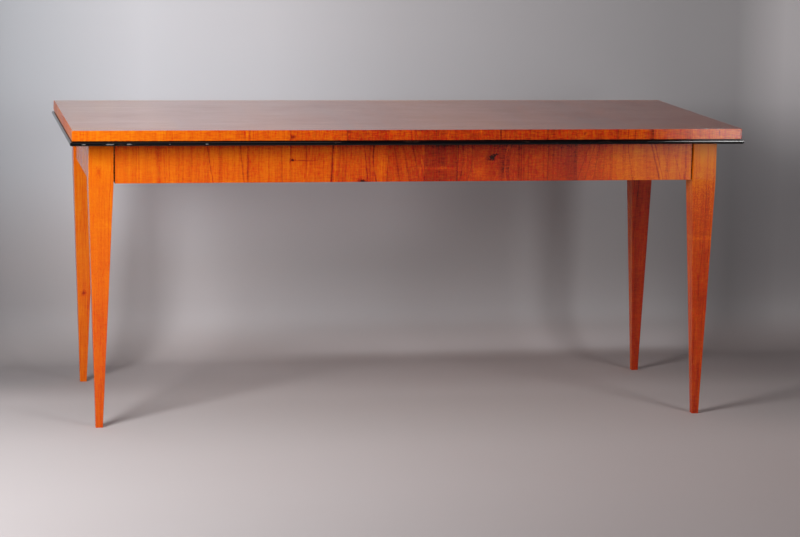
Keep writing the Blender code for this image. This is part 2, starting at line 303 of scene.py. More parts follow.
def mixed(share, first, second):  # a colour given as numbers has three
    node = newNode("Mix", share, data_type="RGBA")
    for socket, colour in ((node.inputs[6], first), (node.inputs[7], second)):
        feed(socket, (*colour, 1.0) if isinstance(colour, tuple) else colour)
    return node.outputs[2]


def raised(shader, height):  # a height in millimetres turns the normal
    bump = shader.id_data.nodes.new("ShaderNodeBump")
    for name, value in (("Strength", 1.0), ("Distance", 0.001), ("Height", height)):
        feed(bump.inputs[name], value)
    feed(shader.inputs["Normal"], bump.outputs["Normal"])


def newGroup(name, vectors, numbers, gives):
    group = bpy.data.node_groups.new(name, "ShaderNodeTree")
    for label in vectors:
        group.interface.new_socket(label, in_out="INPUT", socket_type="NodeSocketVector")
    for label in numbers:
        group.interface.new_socket(label, in_out="INPUT", socket_type="NodeSocketFloat")
    for label in gives:
        group.interface.new_socket(label, in_out="OUTPUT", socket_type="NodeSocketFloat")
    start = group.nodes.new("NodeGroupInput")
    end = group.nodes.new("NodeGroupOutput")
    return group, start.outputs, end.inputs


def useGroup(group, **values):
    node = treeOf(values.values()).nodes.new("ShaderNodeGroup")
    node.node_tree = group
    for label, value in values.items():
        feed(node.inputs[label], value)
    return node.outputs


# The figure of the wood, on a place given as (across the grain, through, along the grain). A noise is given
# as its cycles per metre on the three axes, its detail and its roughness, and lies round 0.5

figureLook = {
    "apart": 7.3,           # metres between the wood of two leaves whose shifts are 1 apart
    "wander": ((4.5, 4.5, 2.2), 1.5),
    "wobble": ((18.0, 18.0, 24.0), 1.0),
    "wobbleReach": 0.006,
    "uneven": ((26.0, 1.0, 1.0), 2.0),
    "unevenRings": 6.0,
    "line": (0.30, 0.90, 1.0),  # where in a ring its line starts, is darkest and ends
    "chanceStep": 31.0,
    "rareness": 4.0,        # the higher, the fewer rings are dark
    "faintest": 0.08,
    "comeAndGo": ((30.0, 30.0, 9.0), 1.0),
    "comeAndGoLimits": (0.35, 0.62, 0.25, 1.0),
    "pores": ((2600.0, 2600.0, 150.0), 1.0),
    "poreLimits": (0.66, 0.74),
    "bent": {  # these follow the bent grain
        "Bands": ((34.0, 34.0, 1.5), 1.5),
        "Streaks": ((170.0, 170.0, 4.0), 3.0, 0.65),
        "Fibre": ((900.0, 900.0, 14.0), 3.0, 0.6),
    },
    "straight": {
        "Mottle": ((9.0, 9.0, 20.0), 2.0),
        "Silk": ((36.0, 36.0, 330.0), 2.0, 0.6),
    },
}


def buildFigure():
    look = figureLook
    tree, given, made = newGroup("woodFigure", ("Place",), ("Slant", "Shift", "Ring", "Wander"),
                                 ("Ring Lines", "Bands", "Streaks", "Mottle", "Silk", "Fibre", "Pores"))
    across, through, along = separate(given["Place"])
    far = times(given["Shift"], look["apart"])
    moved = combine(across, plus(through, far), plus(along, far))
    wander = minus(noise(moved, *look["wander"]), 0.5)
    wobble = minus(noise(moved, *look["wobble"]), 0.5)
    bent = plus(across, times(given["Slant"], along), times(wander, given["Wander"]),
                times(wobble, look["wobbleReach"]))
    uneven = minus(noise(combine(bent, far, 0.0), *look["uneven"]), 0.5)
    rings = maths("DIVIDE", bent, given["Ring"])
    ringPlace = plus(rings, times(uneven, look["unevenRings"]))
    number = maths("FLOOR", ringPlace)
    part = maths("FRACT", ringPlace)
    chance = tree.nodes.new("ShaderNodeTexWhiteNoise")
    chance.noise_dimensions = "1D"
    feed(chance.inputs["W"], plus(number, times(given["Shift"], look["chanceStep"])))
    start, darkest, end = look["line"]
    rise = spread(part, start, darkest)
    fall = spread(part, darkest, end, 1.0, 0.0)
    dark = maths("POWER", chance.outputs["Value"], look["rareness"])
    strength = plus(look["faintest"], times(dark, 1.0 - look["faintest"]))
    bentPlace = combine(bent, through, plus(along, far))
    comeAndGo = spread(noise(bentPlace, *look["comeAndGo"]), *look["comeAndGoLimits"])
    feed(made["Ring Lines"], times(rise, fall, strength, comeAndGo))
    for place, parts in ((bentPlace, look["bent"]), (moved, look["straight"])):
        for name, texture in parts.items():
            feed(made[name], noise(place, *texture))
    pores = noise(bentPlace, *look["pores"])
    feed(made["Pores"], spread(pores, *look["poreLimits"]))
    return tree


# A soft spot: knots, cracks and cross streaks, and painted shade and highlights. Pull is how far it turns the
# grain round itself

spotLook = {
    "ragged": ((230.0, 230.0, 230.0), 2.0),
    "fall": (0.25, 0.75, -0.4, -1.9),  # from gentle to steep
}


def buildSpot():
    tree, given, made = newGroup("softSpot", ("Place", "Centre", "Reach"), (), ("Mask", "Pull"))
    away = vectorMaths("SUBTRACT", given["Place"], given["Centre"])
    share = vectorMaths("DIVIDE", away, given["Reach"])
    ragged = spread(noise(given["Place"], *spotLook["ragged"]), *spotLook["fall"])
    mask = maths("EXPONENT", times(vectorMaths("DOT_PRODUCT", share, share), ragged))
    feed(made["Mask"], mask)
    feed(made["Pull"], times(separate(away)[0], mask))
    return tree


# One drawn line of the figure, leaning and bowed, that fades out at its ends

grainLineLook = {
    "wobble": ((30.0, 30.0, 50.0), 2.0),
    "wobbleReach": 0.004,
    "ends": (0.7, 1.0, 1.0, 0.0),
    "depth": (0.05, 0.08, 1.0, 0.0),  # in metres behind its face
    "ragged": ((120.0, 120.0, 60.0), 2.0),
    "raggedLimits": (0.3, 0.6, 0.4, 1.0),
}


def buildGrainLine():
    look = grainLineLook
    tree, given, made = newGroup("grainLine", ("Place", "Centre"), ("Width", "Length", "Lean", "Bow"),
                                 ("Mask",))
    aside, behind, rise = separate(vectorMaths("SUBTRACT", given["Place"], given["Centre"]))
    wobble = minus(noise(given["Place"], *look["wobble"]), 0.5)
    course = plus(times(rise, given["Lean"]), times(rise, rise, given["Bow"]),
                  times(wobble, look["wobbleReach"]))
    off = maths("DIVIDE", minus(aside, course), given["Width"])
    body = maths("EXPONENT", times(off, off, -1.0))
    ends = spread(maths("DIVIDE", maths("ABSOLUTE", rise), given["Length"]), *look["ends"])
    depth = spread(maths("ABSOLUTE", behind), *look["depth"])
    ragged = spread(noise(given["Place"], *look["ragged"]), *look["raggedLimits"])
    feed(made["Mask"], times(body, ends, depth, ragged))
    return tree


# Wear of the polish: dull clouds, fine scratches in three directions and a slow waviness of the ground

polishLook = {
    "clouds": ((6.0, 6.0, 6.0), 4.0, 0.6),
    "cloudLimits": (0.35, 0.75),
    "ways": ((0.35, 3.0), (-0.9, 11.0), (1.9, 17.0)),  # angle of the scratches, seed
    "scratches": ((9.0, 1500.0, 1.0), 1.0),
    "scratchLimits": (0.72, 0.78),
    "scratchDull": 0.12,
    "wave": ((22.0, 22.0, 9.0), 2.0),
}


def buildPolish():
    look = polishLook
    tree, given, made = newGroup("polishWear", ("Place",), ("Smooth", "Dull", "Scratches"),
                                 ("Roughness", "Scratch", "Wave"))
    place = separate(given["Place"])
    across, along = place[0], place[2]
    clouds = spread(noise(given["Place"], *look["clouds"]), *look["cloudLimits"])
    marks = []
    for angle, seed in look["ways"]:
        lengthways = plus(times(across, math.cos(angle)), times(along, math.sin(angle)))
        sideways = minus(times(along, math.cos(angle)), times(across, math.sin(angle)))
        turned = combine(lengthways, sideways, seed)
        marks.append(spread(noise(turned, *look["scratches"]), *look["scratchLimits"]))
    scratch = times(chained("MAXIMUM", *marks), given["Scratches"])
    rough = plus(given["Smooth"], times(clouds, given["Dull"]), times(scratch, look["scratchDull"]))
    feed(made["Roughness"], rough)
    feed(made["Scratch"], scratch)
    feed(made["Wave"], noise(given["Place"], *look["wave"]))
    return tree


figure = buildFigure()
spot = buildSpot()
grainLine = buildGrainLine()
polish = buildPolish()


def wearOf(place, look):
    return useGroup(polish, Place=place, Smooth=look["smooth"], Dull=look["dull"],
                    Scratches=look["scratches"])


def newMaterial(name):
    material = bpy.data.materials.new(name)
    material.use_nodes = True
    return material, material.node_tree, material.node_tree.nodes["Principled BSDF"]


def grainPlace(tree, grain):
    # (across, through, along) from the object's own coordinates
    x, y, z = separate(objectPlace(tree))
    if grain == "z":  # upright on all four sides: across is X on two of them and Y on the others
        return combine(plus(x, y), minus(y, x), z)
    if grain == "y":
        return combine(x, z, y)
    if grain == "x":
        return combine(y, z, x)
    turned = (plus(x, y), minus(x, y))  # the two diagonals of the floor
    first, second = turned if grain == "xy" else turned[::-1]
    return combine(first, z, second)


def swapped(point, grain):
    x, y, z = point
    return {"z": (x + y, y - x, z), "y": (x, z, y), "x": (y, z, x)}[grain]


# What all woods share
woodLook = {
    "markDepth": 0.12,        # how far behind its face a mark reaches
    "lineLength": 0.2,
    "ends": (-1.10, 0.40),    # between these the figure grows from the left end's liveliness to the right's
    "parts": (  # part of the figure, its middle, what quietens it
        ("Ring Lines", "lines", 0.1, "calm"),
        ("Bands", "bands", 0.5, "calm"),
        ("Streaks", "streaks", 0.5, "calm"),
        ("Mottle", "mottle", 0.5, "calm"),
        ("Silk", "silk", 0.5, "lively"),
        ("Fibre", "fibre", 0.5, "lively"),
        ("Pores", "pores", 0.0, "even"),
    ),
    "golden": ((190.0, 190.0, 75.0), 3.0, 0.7),  # flecks, strongest in red wood
    "goldenLimits": (0.15, 0.60),
    "goldenLeast": 0.15,
    "scratchRelief": 0.01,
    "coatRoughness": 0.07,
    "coatStreaks": (((1.6, 1.6, 7.0), 4.0, 0.6), ((5.0, 5.0, 30.0), 3.0, 0.6)),
    "coatLimits": (0.75, 1.25),
    "coatEnds": (-0.80, 1.00),
    "coatThinnest": 0.14,
}


def markWood(place, shade, look):
    # marks and drawn lines change the shade: knots, stains and figure, and in places painted shade and
    # painted highlights; some marks pull the grain round themselves
    pulled = place
    for mark in look.get("marks", ()):
        across, along = mark["reach"]
        got = useGroup(spot, Place=place, Centre=swapped(mark["at"], look["grain"]),
                       Reach=(across, mark.get("depth", woodLook["markDepth"]), along))
        stain = maths("POWER", got["Mask"], mark.get("edge", 1.0))
        shade = plus(shade, times(stain, mark["stain"]))
        if mark.get("pull"):
            pull = times(got["Pull"], mark["pull"])
            pulled = vectorMaths("SUBTRACT", pulled, combine(pull, 0.0, 0.0))
    for line in look.get("drawn", ()):
        got = useGroup(grainLine, Place=place, Centre=swapped(line["at"], look["grain"]),
                       Width=line["width"], Length=line.get("length", woodLook["lineLength"]),
                       Lean=line["lean"], Bow=line.get("bow", 0.0))
        shade = plus(shade, times(got["Mask"], line["stain"]))
    return shade, pulled


def coatUnevenly(shader, place, look):  # the polish lies in long soft streaks, thinner to the right
    first, second = [noise(place, *texture) for texture in woodLook["coatStreaks"]]
    thick = spread(plus(first, second), *woodLook["coatLimits"], 1.0 - look["uneven"],
                   1.0 + look["uneven"], smooth=False)
    across = separate(place)[0]
    thin = spread(across, *woodLook["coatEnds"], look["coat"], woodLook["coatThinnest"], smooth=False)
    feed(shader.inputs["Coat Weight"], times(thick, thin))


def woodMaterial(name, look):
    material, tree, shader = newMaterial(name)
    place = grainPlace(tree, look["grain"])
    tone, slant, shift = separate(faceValue(tree, "leaf")["Vector"])
    shade, pulled = markWood(place, plus(tone, look["tone"]), look)
    wood = useGroup(figure, Place=pulled, Slant=slant, Shift=shift, Ring=look["ring"],
                    Wander=look["wander"])
    lively = spread(separate(place)[0], *woodLook["ends"], *look["lively"], smooth=False)
    calm = spread(shade, look["calmFrom"], look["calmTo"], 1.0, look["calm"])  # red leaves are quieter
    weights = {"calm": times(calm, lively), "lively": lively, "even": 1.0}
    for part, setting, middle, weight in woodLook["parts"]:
        centred = times(minus(wood[part], middle), look[setting])
        shade = plus(shade, times(centred, weights[weight]))
    shade = minus(shade, times(faceValue(tree, "rub")["Fac"], look["rub"]))
    flecks = minus(noise(pulled, *woodLook["golden"]), 0.5)
    strength = spread(shade, *woodLook["goldenLimits"], woodLook["goldenLeast"] * look["flecks"],
                      look["flecks"])
    golden = combine(1.0, plus(times(flecks, strength), 1.0), 1.0)
    colour = vectorMaths("MULTIPLY", ramp(shade, look["stops"]), golden)
    feed(shader.inputs["Base Color"], colour)
    wear = wearOf(place, look)
    feed(shader.inputs["Roughness"], wear["Roughness"])
    height = minus(times(wood["Fibre"], look["fibreRelief"]), times(wood["Ring Lines"], look["ringRelief"]),
                   times(wear["Scratch"], woodLook["scratchRelief"]))
    raised(shader, plus(height, times(wear["Wave"], look["waveRelief"])))
    shader.inputs["Specular IOR Level"].default_value = look["gloss"]
    shader.inputs["Coat Weight"].default_value = look["coat"]
    shader.inputs["Coat Roughness"].default_value = woodLook["coatRoughness"]
    if look["uneven"]:
        coatUnevenly(shader, place, look)
    return material


# from pale gold to deep red-brown
cherryStops = (
    (0.00, (0.82, 0.235, 0.006)),
    (0.20, (0.76, 0.150, 0.004)),
    (0.40, (0.66, 0.088, 0.004)),
    (0.60, (0.50, 0.046, 0.005)),
    (0.80, (0.32, 0.022, 0.005)),
    (0.92, (0.14, 0.010, 0.004)),
    (1.00, (0.03, 0.010, 0.006)),
)

# French-polished cherry. Reliefs are in millimetres
cherryLook = {
    "grain": "z",
    "tone": 0.0,
    "ring": 0.0105,
    "wander": 0.045,
    "lines": 0.42,
    "bands": 0.30,
    "streaks": 0.55,
    "mottle": 0.25,
    "silk": 0.42,
    "fibre": 0.24,
    "pores": 0.10,
    "flecks": 4.0,
    "calmFrom": 0.35,
    "calmTo": 0.75,
    "calm": 0.55,
    "lively": (0.78, 1.26),  # at the left end, at the right end
    "rub": 0.06,
    "stops": cherryStops,
    "smooth": 0.09,
    "dull": 0.07,
    "scratches": 0.5,
    "fibreRelief": 0.006,
    "ringRelief": 0.012,
    "waveRelief": 0.12,
    "gloss": 0.33,
    "coat": 0.0,
    "uneven": 0.0,
}


# Marks in rows of (x, y, z, reach across, reach along, tone shift); a positive shift darkens
def marksAt(*rows):
    return tuple({"at": (x, y, z), "reach": (across, along), "stain": stain, **dict(*more)}
                 for x, y, z, across, along, stain, *more in rows)


# The same in rows without y, on a face that lies at y
def marksOn(y, *rows):
    return marksAt(*[(x, y, *others) for x, *others in rows])


# Lines in rows of (x, z, width, tone shift, lean), lean sideways per unit of height, bow per unit squared
def linesOn(y, *rows):
    return tuple({"at": (x, y, z), "width": width, "stain": stain, "lean": lean, **dict(*more)}
                 for x, z, width, stain, lean, *more in rows)


topMarks = marksAt(
    (0.0, 0.375, topLevel, 3.0, 0.030, -0.20),
    (-0.75, 0.20, topLevel, 0.120, 0.100, -0.14),
    (0.62, -0.20, topLevel, 0.200, 0.160, 0.05),
)
edgeMarks = marksOn(
    edgeFront,
    (0.1, 0.7795, 0.8, 0.0016, 0.16, {"depth": 0.8}),
    (-0.316, 0.763, 0.006, 0.004, 0.45, {"pull": 0.8}),
    (0.813, 0.77, 0.0011, 0.006, 0.6),
    (0.449, 0.768, 0.003, 0.003, 0.35, {"pull": 0.8}),
    (0.874, 0.767, 0.0022, 0.03, 0.4),
    # a painted highlight on the rounded front left corner
    (-0.873, 0.767, 0.0025, 0.03, -0.14),
)
railMarks = marksOn(
    railFront,
    (0.2215, 0.701, 0.034, 0.05, 0.05, {"pull": 0.9}),
    # painted shade: a dark band under the bead along the whole rail's top
    (0.0, 0.739, 3.0, 0.01, 0.34, {"depth": 3.0}),
    (0.2205, 0.699, 0.006, 0.0056, 0.72),
    (0.227, 0.705, 0.0036, 0.0026, 0.5),
    (0.231, 0.708, 0.0028, 0.0018, 0.2),
    (0.208, 0.695, 0.006, 0.009, 0.18),
    (0.25, 0.685, 0.02, 0.04, 0.2),
    (0.185, 0.66, 0.025, 0.016, -0.14),
    (-0.306, 0.695, 0.0065, 0.0036, 0.8, {"edge": 1.5}),
    (-0.278, 0.6935, 0.03, 0.0012, 0.35),
    (-0.1215, 0.639, 0.012, 0.006, 0.6, {"pull": 0.6}),
    (0.083, 0.6715, 0.048, 0.003, -0.26),
    (-0.655, 0.725, 0.014, 0.032, 0.14),
    (-0.408, 0.695, 0.014, 0.09, 0.09),
    (0.42, 0.685, 0.05, 0.04, 0.06),
    (0.45, 0.675, 0.05, 0.09, 0.1),
    (0.6, 0.7, 0.085, 0.3, -0.2),
    (0.71, 0.73, 0.06, 0.04, 0.05),
    (0.545, 0.53, 0.17, 0.125, 0.0, {"pull": 0.6}),
) + marksOn(
    -railFront,
    (0.27, 0.685, 0.01, 0.012, 0.8, {"pull": 0.9}),
) + marksOn(
    0.06,
    (0.823, 0.705, 0.009, 0.01, 0.7, {"pull": 0.9}),
)
legMarks = marksAt(
    (-0.7993, 0.275, 0.2540, 0.006, 0.006, 0.5, {"pull": 0.9}),
    (-0.8050, -0.322, 0.6680, 0.006, 0.010, 0.3),
    (-0.8000, -0.300, 0.0500, 0.060, 0.420, 0.23),
    (-0.8000, 0.300, 0.1000, 0.060, 0.250, 0.10),
    (0.8000, -0.300, 0.0000, 0.060, 0.400, 0.06),
    (0.8000, 0.300, 0.0500, 0.060, 0.300, -0.06),
    (0.8070, -0.318, 0.4800, 0.060, 0.006, -0.18),
    (0.8150, -0.314, 0.3100, 0.060, 0.030, 0.12),
    # front right leg: its front paler and more golden at the top, partly its own wood and partly a painted
    # sheen
    (0.8000, -0.324, 0.7400, 0.090, 0.135, -0.60),
    # a painted highlight along the front right leg's outer front arris
    (0.8290, -0.324, 0.6000, 0.006, 0.300, -0.20),
)

railLines = linesOn(
    railFront,
    (-0.701, 0.695, 0.0014, 0.14, -0.02),
    (-0.652, 0.705, 0.004, 0.14, -0.04),
    (-0.624, 0.695, 0.0014, 0.2, -0.02),
    (-0.588, 0.695, 0.0014, 0.14, 0.01),
    (-0.5205, 0.695, 0.0017, 0.34, -0.17),
    (-0.508, 0.715, 0.0014, 0.2, 0.05, {"length": 0.06}),
    (-0.46, 0.695, 0.0014, 0.16, -0.01),
    (-0.438, 0.7, 0.0019, 0.34, -0.12),
    (-0.422, 0.695, 0.0018, 0.44, -0.01),
    (-0.372, 0.695, 0.0018, -0.12, 0.01),
    (-0.311, 0.72, 0.0014, 0.34, 0.01, {"length": 0.04}),
    (-0.313, 0.66, 0.0012, 0.14, 0.05, {"length": 0.04}),
    (-0.262, 0.7, 0.002, -0.18, 0.14, {"length": 0.06}),
    (-0.202, 0.695, 0.0022, 0.5, 0.04),
    (-0.194, 0.695, 0.002, -0.18, 0.05),
    (-0.183, 0.695, 0.0014, 0.18, 0.04),
    (-0.166, 0.695, 0.0014, 0.16, 0.03),
    (-0.155, 0.695, 0.002, -0.12, 0.04),
    (-0.115, 0.7, 0.0017, 0.34, -0.1, {"length": 0.07}),
    (-0.095, 0.695, 0.0018, 0.34, -0.04, {"bow": 2.0}),
    (-0.105, 0.665, 0.003, -0.14, 0.05, {"length": 0.03}),
    (-0.072, 0.695, 0.002, -0.1, 0.02),
    (-0.035, 0.7, 0.0017, 0.22, -0.18),
    (-0.008, 0.69, 0.0017, 0.2, -0.2),
    (0.017, 0.69, 0.0017, 0.24, -0.2),
    (0.033, 0.695, 0.0024, -0.14, 0.08),
    (0.129, 0.695, 0.0016, 0.2, 0.01),
    (0.143, 0.7, 0.0016, 0.18, 0.02, {"bow": -2.0}),
    (0.168, 0.7, 0.0017, 0.18, 0.04, {"bow": -3.0}),
    (0.256, 0.695, 0.0016, -0.24, 0.12, {"bow": 3.0}),
    (0.266, 0.695, 0.0016, 0.16, 0.1, {"bow": 2.0}),
    (0.318, 0.695, 0.0014, 0.14, 0.0),
    (0.371, 0.695, 0.0016, 0.16, 0.02),
    (0.405, 0.695, 0.0016, 0.12, 0.03),
    (0.47, 0.695, 0.0014, 0.18, 0.34),
    (0.486, 0.695, 0.0014, 0.2, 0.26),
    (0.503, 0.695, 0.0014, 0.18, 0.16),
    (0.523, 0.695, 0.0014, 0.14, 0.08),
    (0.592, 0.695, 0.0016, 0.32, -0.16),
    (0.6, 0.725, 0.0014, 0.22, 0.1, {"length": 0.04}),
    (0.66, 0.695, 0.002, 0.38, -0.27),
    (0.666, 0.695, 0.0014, -0.16, -0.27),
    (0.67, 0.695, 0.0014, 0.26, -0.26),
    (0.69, 0.695, 0.0014, 0.18, -0.22),
    (0.725, 0.67, 0.0014, 0.24, -0.28, {"length": 0.04}),
)
edgeLines = linesOn(
    edgeFront,
    (-0.6445, 0.767, 0.0018, 0.22, 0.0),
    (-0.426, 0.767, 0.0016, 0.3, 0.0),
    (-0.3215, 0.767, 0.0018, 0.3, 0.0),
    (-0.176, 0.767, 0.0022, 0.22, 0.0),
    (0.086, 0.767, 0.005, -0.16, 0.0),
    (0.173, 0.767, 0.0022, -0.34, 0.0),
    (0.226, 0.767, 0.0018, 0.36, 0.0),
    (0.35, 0.767, 0.0022, 0.26, 0.0),
    (0.585, 0.767, 0.0016, 0.3, 0.0),
)

edgeLook = {
    **cherryLook,
    "marks": edgeMarks,
    "drawn": edgeLines,
    "tone": 0.05,
    "silk": 0.8,
    "flecks": 4.4,
    "lively": (0.78, 1.0),
    "smooth": 0.07,
    "dull": 0.03,
    "gloss": 0.46,
    "fibreRelief": 0.025,
    "waveRelief": 0.02,
}
railLook = {**cherryLook, "marks": railMarks, "drawn": railLines, "smooth": 0.20, "dull": 0.06}
legLook = {
    **cherryLook,
    "marks": legMarks,
    "ring": 0.006,
    "wander": 0.02,
    "lines": 0.25,
    "bands": 0.36,
    "streaks": 0.56,
    "silk": 0.20,
    "flecks": 2.4,
    "smooth": 0.18,
    "gloss": 0.21,
    "waveRelief": 0.05,
}
topLook = {
    **cherryLook,
    "grain": "y",
    "marks": topMarks,
    # seen through more polish, the wood of the top is browner
    "stops": tuple((place, (0.86 * red, 1.8 * green, blue)) for place, (red, green, blue) in cherryStops),
    "tone": 0.28,
    "lines": 0.36,
    "bands": 0.36,
    "flecks": 1.2,
    "lively": (1.0, 1.0),
    "smooth": 0.12,
    "dull": 0.06,
    "scratches": 1.0,
    "waveRelief": 0.05,
    "gloss": 0.04,
    "coat": 0.74,
    "uneven": 0.18,
}
edgeCherry = woodMaterial("edgeCherry", edgeLook)
# the edge at the left end has lost some of its shine
rubbedEdge = woodMaterial("dullEdgeCherry", {**edgeLook, "smooth": 0.30, "dull": 0.08, "gloss": 0.48})
railCherry = woodMaterial("railCherry", railLook)
legCherry = woodMaterial("legCherry", legLook)
topCherry = woodMaterial("topCherry", topLook)
print("materials of the polished wood are built")


# The top's surface veneer: leaves from front to back, each seam a hairline

topSurface = {
    "smoothAngle": 30,
    "joint": 0.0004,
    "lean": 0.05,
    # start, tone, slant, shift of each leaf
    "leaves": (
        (-1.0, 0.28, 0.02, 0.1),
        (-0.601, 0.38, -0.03, 0.9),
        (-0.428, 0.34, 0.03, 1.7),
        (-0.310, 0.38, 0.05, 2.2),
        (-0.203, 0.42, -0.04, 3.1),
        (-0.056, 0.38, 0.06, 4.3),
        (0.040, 0.35, -0.02, 5.2),
        (0.188, 0.35, 0.07, 6.4),
        (0.310, 0.43, -0.05, 7.7),
        (0.449, 0.49, 0.02, 8.6),
        (0.585, 0.47, -0.06, 9.5),
        (0.700, 0.50, 0.03, 10.3),
    ),
}


def makeTopSurface():
    look = topSurface
    low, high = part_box("tabletop_surface_veneer")
    piece = startBox("topSurface", low, high)
    layLeaves(piece, look["leaves"], look, 1, (low + high) / 2)
    piece.data.materials.append(topCherry)
    finishPiece(piece, 0, "tabletop_surface_veneer", look["smoothAngle"])


makeTopSurface()
print("top surface is laid")


# The upright veneer on the top's four edges, mitred and with rounded arrises

frontEdgeLeaves = (
    (-1.0, 0.17, 0.02, 20.1),
    (-0.640, 0.25, -0.02, 21.9),
    (-0.430, 0.30, 0.02, 22.7),
    (-0.3255, 0.42, 0.06, 23.2),
    (-0.176, 0.57, -0.03, 24.1),
    (-0.068, 0.50, 0.05, 25.3),
    (0.002, 0.60, -0.02, 26.2),
    (0.172, 0.60, 0.03, 27.4),
    (0.262, 0.58, -0.03, 28.7),
    (0.428, 0.52, 0.02, 29.6),
    (0.560, 0.45, -0.02, 30.5),
    (0.7395, 0.34, 0.03, 31.3),
)
edgeBand = {
    "arris": 0.0008,
    "steps": 3,
    "corner": 0.0016,
    "cornerFacets": 4,
    "smoothAngle": 50,
    "joint": 0.0004,
    "lean": 0.3,
    "leaves": {
        "front": frontEdgeLeaves,
        "back": leavesBehind(frontEdgeLeaves, -0.03, 40),
        "right": ((-1.0, 0.45, 0.02, 41.0), (-0.22, 0.36, -0.03, 42.0), (-0.07, 0.5, 0.03, 43.0),
                  (0.06, 0.42, -0.02, 44.0), (0.21, 0.3, 0.02, 45.0)),
        "left": ((-1.0, 0.2, 0.02, 51.0), (-0.20, 0.12, -0.03, 52.0), (-0.06, 0.3, 0.03, 53.0),
                 (0.08, 0.22, -0.02, 54.0), (0.22, 0.16, 0.02, 55.0)),
    },
}


def makeEdgeBand(side):
    look = edgeBand
    node = "edge_band_" + side
    low, high = sideBox(node, side)
    piece = startBox("edgeVeneer_" + side, low, high)
    mitre(low, high)
    roundCorner(low, high, look["corner"], look["cornerFacets"])
    pickEdges(piece, lambda middle, way: near(middle.y, low.y) and runs(way, 0))
    ease(look["arris"], look["steps"])
    layLeaves(piece, look["leaves"][side], look, 2, (low + high) / 2)
    piece.data.materials.append(rubbedEdge if side == "left" else edgeCherry)
    finishPiece(piece, sides[side], node, look["smoothAngle"])


for side in sides:
    makeEdgeBand(side)
print("edge veneers are on")


# The black bead: a half round nose under a small quirk, mitred at the corners

bead = {
    "seatIn": 0.008,      # from the nose to the quirk's back wall
    "quirk": 0.0025,
    "noseSteps": 8,
    "smoothAngle": 40,
    "black": (0.0025, 0.0025, 0.0032),
    "brown": (0.045, 0.022, 0.014),
    "worn": (0.16, 0.15, 0.145),
    "rubs": ((16.0, 16.0, 70.0), 3.0, 0.6),
    "rubLimits": (0.62, 0.72, 0.0, 0.45),
    "chips": ((90.0, 90.0, 260.0), 3.0, 0.65),
    "chipLimits": (0.70, 0.76),
    # worn patches along the front: middle and half length
    "patches": ((-0.845, 0.006), (-0.780, 0.011), (-0.733, 0.009), (-0.6295, 0.0020), (-0.5361, 0.004)),
    "patchLevel": 0.7455,
    "patchReach": (0.02, 0.0018),
    "ragged": ((260.0, 260.0, 700.0), 2.0),
    "raggedLimits": (0.18, 0.32),
    "smooth": 0.07,
    "dull": 0.04,
    "wornDull": 0.3,
    "scratches": 0.4,
    "gloss": 0.20,
    "waveRelief": 0.10,
    "wornRelief": 0.12,
}


def beadMaterial():
    look = bead
    material, tree, shader = newMaterial("blackBead")
    place = objectPlace(tree)
    rubbed = spread(noise(place, *look["rubs"]), *look["rubLimits"])
    worn = spread(noise(place, *look["chips"]), *look["chipLimits"])
    ragged = noise(place, *look["ragged"])
    for x, reach in look["patches"]:
        got = useGroup(spot, Place=place, Centre=(x, beadFront, look["patchLevel"]),
                       Reach=(reach, *look["patchReach"]))
        patch = spread(times(got["Mask"], ragged), *look["raggedLimits"])
        worn = maths("MAXIMUM", worn, patch)
    colour = mixed(worn, mixed(rubbed, look["black"], look["brown"]), look["worn"])
    feed(shader.inputs["Base Color"], colour)
    wear = wearOf(place, look)
    feed(shader.inputs["Roughness"], plus(wear["Roughness"], times(worn, look["wornDull"])))
    raised(shader, minus(times(wear["Wave"], look["waveRelief"]), times(worn, look["wornRelief"])))
    shader.inputs["Specular IOR Level"].default_value = look["gloss"]
    return material


blackBead = beadMaterial()


def makeBead(side):
    look = bead
    node = "bead_" + side
    low, high = sideBox(node, side)
    shelf = high.z - look["quirk"]
    piece = startBox("bead_" + side + "_polished", low, (high.x, high.y, shelf))
    pickEdges(piece, lambda middle, way: near(middle.y, low.y) and runs(way, 0))
    ease((shelf - low.z) / 2, look["noseSteps"])
    inner = low.y + look["seatIn"]
    cut((0, inner, 0), (0, 1, 0))
    pick(piece, "faces", lambda face: facesTo(face, 2, 1) and face.calc_center_median().y > inner)
    pullUp(look["quirk"])
    mitre(low, high)
    piece.data.materials.append(blackBead)
    finishPiece(piece, sides[side], node, look["smoothAngle"])


for side in sides:
    makeBead(side)
print("bead is round the top")


# The rails' facings: upright leaves on the four cores

frontRailLeaves = (
    (-1.0, 0.28, 0.02, 0.3),
    (-0.6010, 0.31, -0.03, 1.1),
    (-0.4200, 0.35, 0.02, 2.4),
    (-0.3105, 0.40, 0.02, 3.3),
    (-0.2030, 0.47, -0.04, 4.2),
    (-0.0561, 0.59, 0.20, 5.6),
    (0.0404, 0.77, 0.03, 6.1),
    (0.1267, 0.64, -0.04, 7.5),
    (0.2791, 0.64, 0.02, 8.4),
    (0.3706, 0.64, 0.01, 9.9),
    (0.4491, 0.54, -0.01, 10.6),
    (0.5450, 0.46, 0.0, 11.2),
    (0.6740, 0.32, 0.0, 12.7),
)
railFacing = {
    "arris": 0.0005,
    "arrisSteps": 2,
    "smoothAngle": 50,
    "joint": 0.0005,
    "lean": 0.35,
    "leaves": {
        "front": frontRailLeaves,
        "back": leavesBehind(frontRailLeaves, 0.02, 60),
        "right": ((-1.0, 0.45, 0.04, 71.0), (-0.15, 0.30, -0.08, 72.0), (-0.02, 0.52, 0.12, 73.0),
                  (0.12, 0.38, -0.05, 74.0)),
        "left": ((-1.0, 0.22, 0.05, 81.0), (-0.13, 0.30, -0.06, 82.0), (0.01, 0.16, 0.10, 83.0),
                 (0.14, 0.26, -0.04, 84.0)),
    },
}


